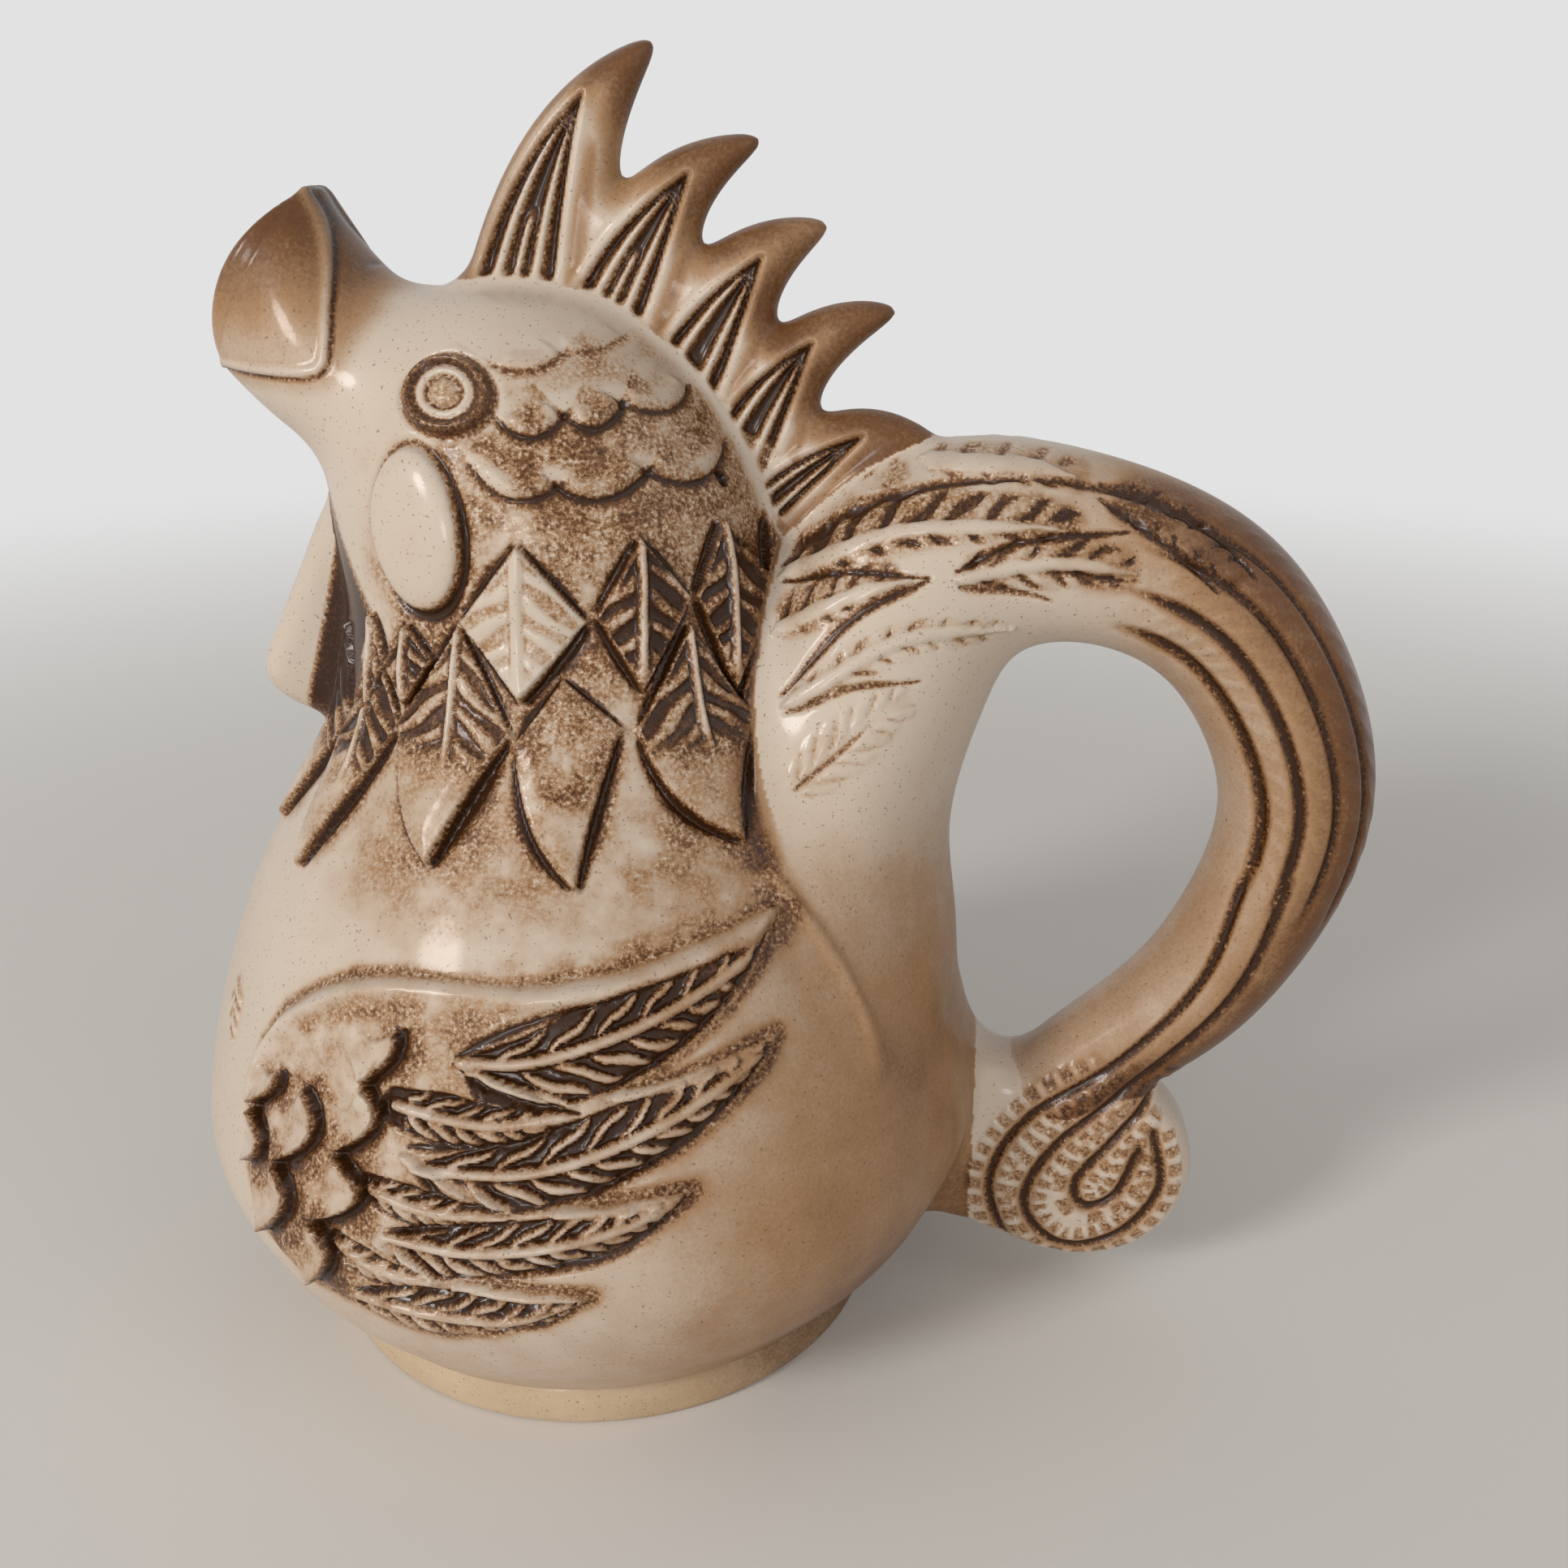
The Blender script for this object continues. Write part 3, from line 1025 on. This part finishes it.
def dress_beak(coat):
    pick, x, z = coat.of_form("beak")
    own = smooth_step(1.0, 6.0, coat.forms["vessel"][pick])
    lip = spline(BEAK_LIP, 8)
    _, away, side, _ = follow(x, z, lip)
    outer = away * side
    groove = own * fall(outer, 0.5)
    coat.carve(pick, 0.5 * own * hump(outer, -0.8, 0.8) - 0.4 * groove, 0.6 * groove)
    _, slit, _, _ = follow(x, z, np.array(NOSTRIL, float))
    coat.carve(pick, -0.8 * own * hump(slit, 0, 0.6), own * 0.9 * hump(slit, 0, 0.6))
    tip = smooth_step(1.0, 0.0, outer) * (0.16 + 0.5 * smooth_step(170, 196, z))
    coat.brush(pick, own * tip * (1 - 0.5 * hump(outer, -0.8, 0.7)))
    front = (coat.x < -8) & (coat.z > 160) & np.isin(coat.form, ("beak", "vessel"))
    brow = np.nonzero(coat.outside & front)[0]
    _, away, side, _ = follow(coat.x[brow], coat.z[brow], lip)
    high = smooth_step(168, 188, coat.z[brow])
    coat.brush(brow, (side > 0) * (0.22 + 0.36 * high) * smooth_step(5 + 11 * high, 0.0, away))


def dress_wattle(coat):
    """Smooth brown glaze in the valley between the wattle and the throat"""
    near = np.nonzero(coat.outside & (coat.angle < 60) & (coat.z < 160) & (coat.z > 96))[0]
    level = coat.z[near]
    flap = smooth_step(-1.0, 1.0, coat.x[near] - np.interp(level, *WATTLE_SHADE_X))
    edge = np.interp(level, *WATTLE_SHADE_ANGLE)
    throat = smooth_step(edge + 4.0, edge - 5.0, coat.angle[near])
    valley = np.where(coat.form[near] == "wattle", flap, throat)
    valley = valley * smooth_step(162, 138, level) * smooth_step(102, 116, level)
    coat.pool[near] = np.maximum(coat.pool[near], 1.2 * valley)


def concavity(points, quads, normals, rounds):
    """How far each point lies below its neighbours, spread over some rounds"""
    start = np.concatenate([quads, np.roll(quads, -1, axis=1)]).ravel()
    end = np.concatenate([np.roll(quads, -1, axis=1), quads]).ravel()
    degree = np.bincount(start, minlength=len(points)).clip(1)
    mean = np.stack([np.bincount(start, points[end, axis], len(points)) for axis in range(3)], axis=1)
    bent = ((mean / degree[:, None] - points) * normals).sum(axis=1)
    span = np.linalg.norm(points[start] - points[end], axis=1)
    span = np.bincount(start, span, len(points)) / degree
    bent = bent / np.maximum(span, 0.05) ** 2
    for _ in range(rounds):
        bent = 0.5 * bent + 0.5 * np.bincount(start, bent[end], len(points)) / degree
    return bent


# Which CAD nodes come in pairs, stand for one form, or are mostly brown
SIDED = ("wing", "hackle_middle", "hackle_upper", "eye", "ear_lobe", "breast_leaf")
FORM_NODE = {"tail": "tail_handle", "beak": "beak_spout", "comb": "comb", "wattle": "throat_wattle",
             "curl": "tail_curl", "bridge": "handle_bridge"}
BROWN_NODES = ("beak_spout", "comb", "hackle", "wing", "tail_handle")
# Seams of the vessel's pieces, and where its lattice is refined
FOOT_SEAM = 8.9
NECK_SEAM = 107.2
HEAD_SEAM = 140
FINE_LEVEL = 92
WING_LEVEL = 28
WING_ANGLES = (24, 138)
# Forms that meet others at a joint
GROUPS = (("vessel",), ("tail", "curl", "bridge"), ("beak",), ("comb",), ("wattle",))


def label_points(points):
    """The form that each point lies on, whether it is on the outside, and how clear it is of other forms"""
    _, forms, hollow = jug_field(points[:, 0], np.abs(points[:, 1]), points[:, 2])
    names = list(forms)
    stack = np.stack([forms[name] for name in names])
    form = np.array(names)[np.argmin(stack, axis=0)]
    outside = ~((hollow > -0.6) & (stack.min(axis=0) < -1.2))
    groups = np.sort(np.stack([np.min([forms[name] for name in group], axis=0) for group in GROUPS]), axis=0)
    return form, forms, outside, groups[1] - groups[0]


def build_skin():
    """The finished points, quads and glaze"""
    values, low = lattice()
    points, quads = surface_net(values, low)
    points = settle(points, quads, 2)
    form, _, outside, _ = label_points(points)
    fine = outside & ((form != "vessel") | (points[:, 2] > FINE_LEVEL) | wing_zone(points))
    points, quads = refine(points, quads, fine[quads].any(axis=1))
    points = settle(points, quads, 2)
    form, forms, outside, clear = label_points(points)
    normals = normals_of(points, quads)
    coat = Coat(points, normals, form, forms, outside)
    for dress in (dress_neck, dress_wing, dress_head, dress_body, dress_comb, dress_tail, dress_beak):
        dress(coat)
    coat.height *= outside * smooth_step(0.2, 2.6, clear)
    coat.pool *= smooth_step(0.2, 2.2, clear)
    coat.spray *= smooth_step(0.2, 4.0, clear)
    dress_wattle(coat)
    points = points + normals * coat.height[:, None]
    normals = normals_of(points, quads)
    bent = concavity(points, quads, normals, 2)
    return points, quads, normals, coat, bent


def wing_zone(points):
    """Where the wing lies"""
    _, angle = upright(points[:, 0], points[:, 1], points[:, 2])
    return (angle > WING_ANGLES[0]) & (angle < WING_ANGLES[1]) & (points[:, 2] > WING_LEVEL)


def node_names(points, coat):
    """The CAD node that each point belongs to"""
    side = np.where(points[:, 1] < 0, "_left", "_right")
    level = points[:, 2]
    upper = np.where(level < HEAD_SEAM, "neck", "head")
    names = np.where(level < NECK_SEAM, "belly", upper).astype("<U24")
    names[level < FOOT_SEAM] = "foot_ring"
    applied = coat.shell & (coat.owner != "")
    names[applied] = coat.owner[applied]
    paired = applied & np.isin(coat.owner, SIDED)
    names[paired] = np.char.add(coat.owner[paired], side[paired])
    for name, node in FORM_NODE.items():
        names[(coat.form == name) & coat.outside] = node
    share = TAIL_TABLE.at(points[:, 0], points[:, 2])[0]
    names[(names == "tail_handle") & (share < TAIL_ROOT_SHARE)] = "tail_root"
    names[~coat.outside & (coat.form == "beak")] = "beak_spout"
    return names


def quad_names(names, quads):
    """One node name for each quad, from its first corner by name"""
    return np.sort(names[quads], axis=1)[:, 0]


class Nodes:
    """Shorthand for the nodes of one material or world"""

    def __init__(self, tree):
        self.tree = tree

    def put(self, value, socket):
        """Joins an output to an input, or sets the input to a plain value"""
        if isinstance(value, bpy.types.NodeSocket):
            self.tree.links.new(value, socket)
        else:
            socket.default_value = value

    def add(self, kind, inputs=None, **settings):
        """A node with its settings, and its inputs by name or number"""
        made = self.tree.nodes.new("ShaderNode" + kind)
        for key, value in settings.items():
            setattr(made, key, value)
        for key, value in (inputs or {}).items():
            self.put(value, made.inputs[key])
        return made

    def maths(self, kind, first, second):
        return self.add("Math", {0: first, 1: second}, operation=kind).outputs[0]

    def plus(self, first, second):
        return self.maths("ADD", first, second)

    def minus(self, first, second):
        return self.maths("SUBTRACT", first, second)

    def times(self, first, second):
        return self.maths("MULTIPLY", first, second)

    def place(self):
        return self.add("TexCoord").outputs["Object"]

    def noise(self, place, scale, detail, roughness=0.6):
        inputs = {"Vector": place, "Scale": scale, "Detail": detail, "Roughness": roughness}
        return self.add("TexNoise", inputs).outputs["Fac"]

    def spread(self, value, low, high):
        """Rises smoothly from 0 at low to 1 at high"""
        inputs = {"Value": value, "From Min": low, "From Max": high}
        return self.add("MapRange", inputs, interpolation_type="SMOOTHSTEP").outputs["Result"]

    def mix(self, share, first, second):
        """A colour between two"""
        return self.add("Mix", {0: share, 6: first, 7: second}, data_type="RGBA").outputs[2]

    def blend(self, share, first, second):
        """A shader between two"""
        return self.add("MixShader", {0: share, 1: first.outputs[0], 2: second.outputs[0]}).outputs[0]

    def reading(self, attribute):
        return self.add("Attribute", attribute_name=attribute).outputs["Fac"]


def glaze_pigment(nodes, cloud, patch, grain):
    """How much brown there is: pools, dust in drifts with fine grains where it is thin, and washes"""
    pool, spray, wash = (nodes.reading(layer) for layer in ("pool", "spray", "wash"))
    drift = nodes.times(spray, nodes.spread(nodes.plus(cloud, patch), 0.55, 1.35))
    mottle = nodes.plus(nodes.times(cloud, 0.16), nodes.times(patch, 0.12))
    dust = nodes.plus(nodes.times(drift, 1.5), nodes.minus(mottle, 0.14))
    pigment = nodes.plus(nodes.times(pool, 0.95), dust)
    uneven = nodes.minus(grain, 0.5)
    wet = nodes.times(nodes.spread(pigment, 0.7, 1.1), 1.6)
    grains = nodes.times(uneven, nodes.spread(pigment, 0.1, 0.5))
    pigment = nodes.plus(pigment, nodes.times(grains, nodes.minus(2.6, wet)))
    veil = nodes.times(wash, nodes.plus(nodes.times(cloud, 0.9), 0.75))
    veil = nodes.plus(veil, nodes.times(uneven, nodes.times(veil, 0.7)))
    return nodes.plus(pigment, veil)


def glaze_material(name, colours, rough, bump):
    """A satin glaze that is pale where thin, speckled where sprayed and dark where pooled"""
    pale, tan, brown, dark = colours
    material = bpy.data.materials.new(name)
    material.use_nodes = True
    nodes = Nodes(material.node_tree)
    material.node_tree.nodes.clear()
    place = nodes.place()
    patch = nodes.noise(place, 150, 3)
    grain = nodes.noise(place, 1500, 3, 0.7)
    pigment = glaze_pigment(nodes, nodes.noise(place, 34, 4), patch, grain)
    colour = nodes.mix(nodes.spread(pigment, 0.02, 0.42), pale, tan)
    colour = nodes.mix(nodes.spread(pigment, 0.34, 0.74), colour, brown)
    colour = nodes.mix(nodes.spread(pigment, 0.7, 1.15), colour, dark)
    specks = nodes.times(nodes.spread(nodes.noise(place, 1700, 1), 0.68, 0.72), 0.55)
    roughness = nodes.minus(rough, nodes.times(nodes.spread(pigment, 0.5, 1.0), 0.1))
    height = nodes.plus(nodes.noise(place, 300, 3), nodes.times(grain, 0.35))
    relief = nodes.add("Bump", {"Strength": bump, "Distance": BUMP_DEPTH, "Height": height})
    shader = nodes.add("BsdfPrincipled", {
        "Base Color": nodes.mix(specks, colour, brown),
        "Roughness": nodes.plus(roughness, nodes.times(patch, 0.1)),
        "Specular IOR Level": SPECULAR,
        "Coat Weight": COAT_WEIGHT,
        "Coat Roughness": COAT_ROUGHNESS,
        "Normal": relief.outputs["Normal"],
    })
    nodes.add("OutputMaterial", {"Surface": shader.outputs[0]})
    return material


def linear(red, green, blue):
    """A colour written as it looks on screen"""
    share = np.array([red, green, blue]) / 255
    channels = np.where(share <= 0.04045, share / 12.92, ((share + 0.055) / 1.055) ** 2.4)
    return (*channels.tolist(), 1.0)


# Each glaze: pale, tan, brown and dark
GLAZE_COLOURS = (linear(203, 187, 170), linear(164, 127, 91), linear(106, 68, 37), linear(54, 30, 12))
CLAY_COLOURS = (linear(204, 184, 158), linear(182, 154, 122), linear(120, 90, 62), linear(70, 48, 32))
SPECULAR = 0.2
COAT_WEIGHT = 0.22
COAT_ROUGHNESS = 0.12
BUMP_DEPTH = 0.0003
# Stage: floor, backdrop and even light
FLOOR_COLOUR = linear(232, 229, 224)
FLOOR_HALF = 6
FLOOR_ROUGHNESS = 0.9
FLOOR_FADE = (0.25, 0.9)
BACKDROP = linear(226, 226, 226)
WORLD_COLOUR = (1, 0.98, 0.96, 1)
WORLD_STRENGTH = 0.38
# Lamps: name, place, size, power
LAMPS = [("key", (-1.25, -1.4, 0.95), 0.5, 17), ("front", (-0.3, -2.0, 0.3), 0.5, 9),
         ("fill", (1.6, -1.0, 1.3), 1.6, 4)]
LAMP_AIM = (0, 0, 0.1)
# The photograph's camera: its focal length and width in pixels, place and turn
PHOTO_FOCAL = 2000
PHOTO_WIDTH = 1932
SENSOR = 36
CAMERA_PLACE = (0.0302, -0.2639, 0.2010)
CAMERA_TURN = (math.radians(69), 0, math.radians(6))


def link_object(name, data):
    """An object in the scene"""
    made = bpy.data.objects.new(name, data)
    bpy.context.scene.collection.objects.link(made)
    return made


def make_piece(node, points, quads, normals, layers, material, axis_x):
    """A mesh object for one CAD node"""
    used, corner = np.unique(quads, return_inverse=True)
    corner = corner.reshape(-1, 4)
    place = (points[used] + (axis_x, 0, 0)) / 1000
    mesh = bpy.data.meshes.new(node)
    mesh.vertices.add(len(place))
    mesh.vertices.foreach_set("co", place.astype(np.float32).ravel())
    mesh.loops.add(corner.size)
    mesh.loops.foreach_set("vertex_index", corner.ravel().astype(np.int32))
    mesh.polygons.add(len(corner))
    mesh.polygons.foreach_set("loop_start", np.arange(0, corner.size, 4, dtype=np.int32))
    mesh.update(calc_edges=True)
    mesh.polygons.foreach_set("use_smooth", np.ones(len(corner), bool))
    mesh.normals_split_custom_set_from_vertices(normals[used].tolist())
    for layer, values in layers.items():
        made = mesh.attributes.new(layer, "FLOAT", "POINT")
        made.data.foreach_set("value", values[used].astype(np.float32))
    mesh.materials.append(material)
    piece = link_object("jug_" + node, mesh)
    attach(piece, "root")
    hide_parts(node)
    return piece


def dress_jug():
    points, quads, normals, coat, bent = build_skin()
    layers = {
        "pool": np.clip(coat.pool + np.clip(bent * 0.4, -0.3, 0.5), 0, 1.2) * coat.outside,
        "spray": np.clip(coat.spray, 0, 1) * coat.outside,
        "wash": np.clip(coat.wash, 0, 1) * coat.outside,
    }
    low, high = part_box("foot_ring")
    axis_x = 500 * (low[0] + high[0])
    glaze = glaze_material("satin_glaze", GLAZE_COLOURS, 0.36, 0.16)
    clay = glaze_material("bare_clay", CLAY_COLOURS, 0.62, 0.4)
    owner = quad_names(node_names(points, coat), quads)
    for node in np.unique(owner):
        material = clay if node == "foot_ring" else glaze
        piece = make_piece(node, points, quads[owner == node], normals, layers, material, axis_x)
        if node == "foot_ring":
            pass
        elif node.startswith(BROWN_NODES):
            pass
        else:
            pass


def seen_rays(nodes):
    """1 for rays that show the backdrop: from the camera, mirrored or through glass"""
    rays = nodes.add("LightPath").outputs
    mirrored = nodes.maths("MAXIMUM", rays["Is Camera Ray"], rays["Is Glossy Ray"])
    return nodes.maths("MAXIMUM", mirrored, rays["Is Transmission Ray"])


def make_floor():
    """A plain pale floor that keeps the shadow and fades into the backdrop"""
    mesh = bpy.data.meshes.new("floor")
    corners = [(FLOOR_HALF * x, FLOOR_HALF * y, 0) for x, y in ((-1, -1), (1, -1), (1, 1), (-1, 1))]
    mesh.from_pydata(corners, [], [(0, 1, 2, 3)])
    floor = link_object("floor", mesh)
    material = bpy.data.materials.new("floor")
    material.use_nodes = True
    tree = material.node_tree
    nodes = Nodes(tree)
    shader = tree.nodes["Principled BSDF"]
    nodes.put(FLOOR_COLOUR, shader.inputs["Base Color"])
    nodes.put(FLOOR_ROUGHNESS, shader.inputs["Roughness"])
    glow = nodes.add("Emission", {"Color": BACKDROP})
    away = nodes.add("VectorMath", {0: nodes.place()}, operation="LENGTH").outputs["Value"]
    share = nodes.times(nodes.spread(away, *FLOOR_FADE), seen_rays(nodes))
    nodes.put(nodes.blend(share, shader, glow), tree.nodes["Material Output"].inputs["Surface"])
    mesh.materials.append(material)


def make_light(name, place, size, power):
    """A soft lamp"""
    lamp = bpy.data.lights.new(name, "AREA")
    lamp.shape = "DISK"
    lamp.size = size
    lamp.energy = power
    made = link_object(name, lamp)
    made.location = place
    heading = np.array(LAMP_AIM, float) - np.array(place, float)
    flat = math.hypot(heading[0], heading[1])
    made.rotation_euler = (math.atan2(flat, -heading[2]), 0, math.atan2(-heading[0], heading[1]))


def make_world():
    """Even light from all round, with the pale backdrop where the camera looks"""
    world = bpy.data.worlds.new("studio")
    world.use_nodes = True
    tree = world.node_tree
    nodes = Nodes(tree)
    even = tree.nodes["Background"]
    nodes.put(WORLD_COLOUR, even.inputs["Color"])
    nodes.put(WORLD_STRENGTH, even.inputs["Strength"])
    seen = nodes.add("Background", {"Color": BACKDROP})
    nodes.put(nodes.blend(seen_rays(nodes), even, seen), tree.nodes["World Output"].inputs["Surface"])
    bpy.context.scene.world = world


def make_camera():
    """The photograph's view"""
    lens = bpy.data.cameras.new("camera")
    lens.sensor_width = SENSOR
    lens.lens = SENSOR * PHOTO_FOCAL / PHOTO_WIDTH
    lens.clip_start = 0.01
    camera = link_object("camera", lens)
    camera.location = CAMERA_PLACE
    camera.rotation_euler = CAMERA_TURN
    bpy.context.scene.camera = camera


dress_jug()
make_floor()
make_world()
for name, place, size, power in LAMPS:
    make_light(name, place, size, power)
make_camera()
bpy.context.scene.view_settings.view_transform = "Standard"
